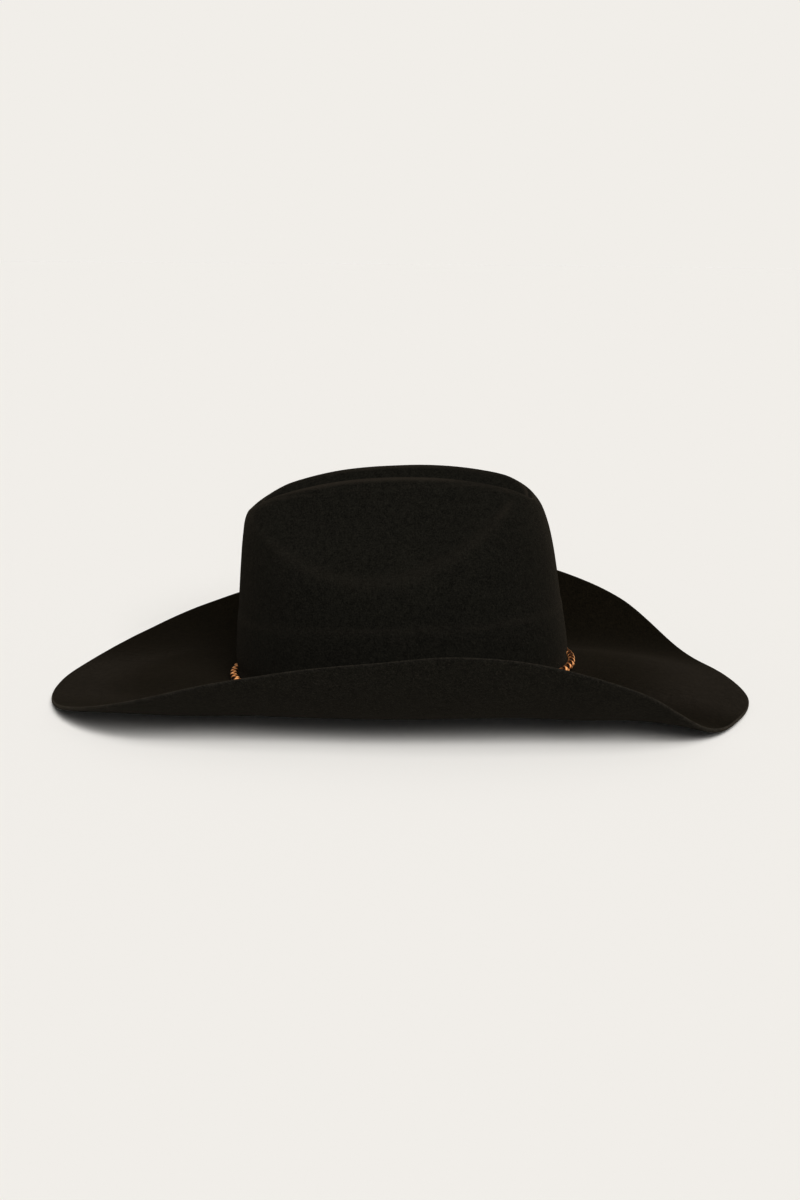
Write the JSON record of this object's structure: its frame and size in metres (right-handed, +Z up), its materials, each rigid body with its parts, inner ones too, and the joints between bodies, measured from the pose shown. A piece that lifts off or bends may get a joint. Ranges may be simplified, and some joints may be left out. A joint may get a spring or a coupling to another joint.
{
  "type": "cowboy hat",
  "caption": "Black felt western hat with a creased crown, rolled brim, braided leather band, leather sweatband and satin lining.",
  "frame": {"origin": "centre of the head opening, in the plane where crown and brim meet", "axes": "+X to the front of the hat, +Y to the wearer's left, +Z up through the crown"},
  "size_m": [0.4241, 0.3382, 0.1487],
  "materials": {
    "felt": "matte black wool felt with a short nap",
    "braid_leather": "waxed tan lacing",
    "keeper_leather": "smooth tan leather",
    "sweatband_leather": "soft matte sheepskin leather",
    "reed": "natural plastic rod",
    "tape": "woven cotton tape",
    "thread": "sewing thread",
    "ribbon": "grosgrain ribbon",
    "lining_satin": "satin",
    "tip_shield": "clear soft plastic",
    "label": "woven label, blank"
  },
  "bodies": {
    "hat": {"felt_body": "felt", "sweatband": "sweatband_leather", "sweatband_reed": "reed", "reed_tape": "tape", "sweatband_stitching": "thread", "sweatband_seam_patch": "tape", "sweatband_seam_thread": "thread", "sweatband_bow": "ribbon", "size_label": "label", "lining_side": "lining_satin", "lining_tip": "lining_satin", "lining_piping": "lining_satin", "tip_shield": "tip_shield"},
    "band": {"band_strand_a": "braid_leather", "band_strand_b": "braid_leather", "band_strand_c": "braid_leather", "band_strand_d": "braid_leather", "band_keeper": "keeper_leather"}
  },
  "joints": [
    {"name": "band_lift", "type": "slide", "parent": "hat", "child": "band", "axis": [0, 0, 1], "range_m": [0, 0.135]}
  ]
}
